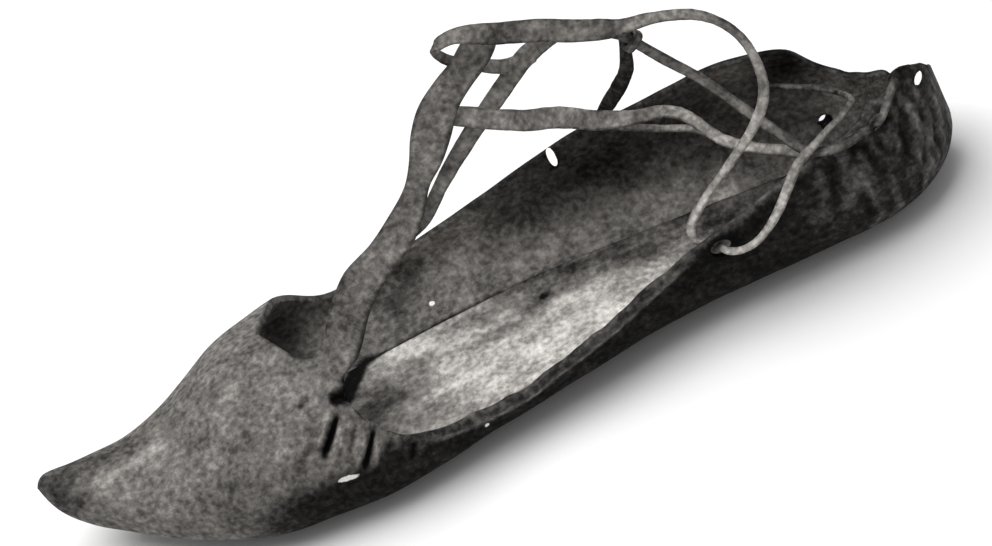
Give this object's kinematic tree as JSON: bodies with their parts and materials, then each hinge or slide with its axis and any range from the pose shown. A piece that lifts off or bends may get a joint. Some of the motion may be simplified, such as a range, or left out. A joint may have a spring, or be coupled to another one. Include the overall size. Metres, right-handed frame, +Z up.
{
  "type": "hide sandal",
  "caption": "Low hide sandal with sole, walls and pointed closed toe folded from one skin, an instep strap cut in one with it, and thongs tied to the heel.",
  "frame": {"origin": "on the ground under the middle of the shoe's length and width", "axes": "+X from toe to heel, +Y from the inner side to the outer side, +Z up"},
  "size_m": [0.28, 0.0796, 0.1106],
  "materials": {
    "hide": "dry rawhide, dark and worn",
    "footbed": "worn pale flesh side",
    "thong": "cut thong, worn",
    "strap": "cut strap, worn",
    "dark_thong": "dark cut thong",
    "lace": "cut thong, worn"
  },
  "bodies": {
    "root": {"hide_body": "hide", "insole": "footbed", "instep_band": "thong", "side_strap": "strap", "tie_thong": "dark_thong", "heel_lace": "lace"}
  },
  "joints": []
}
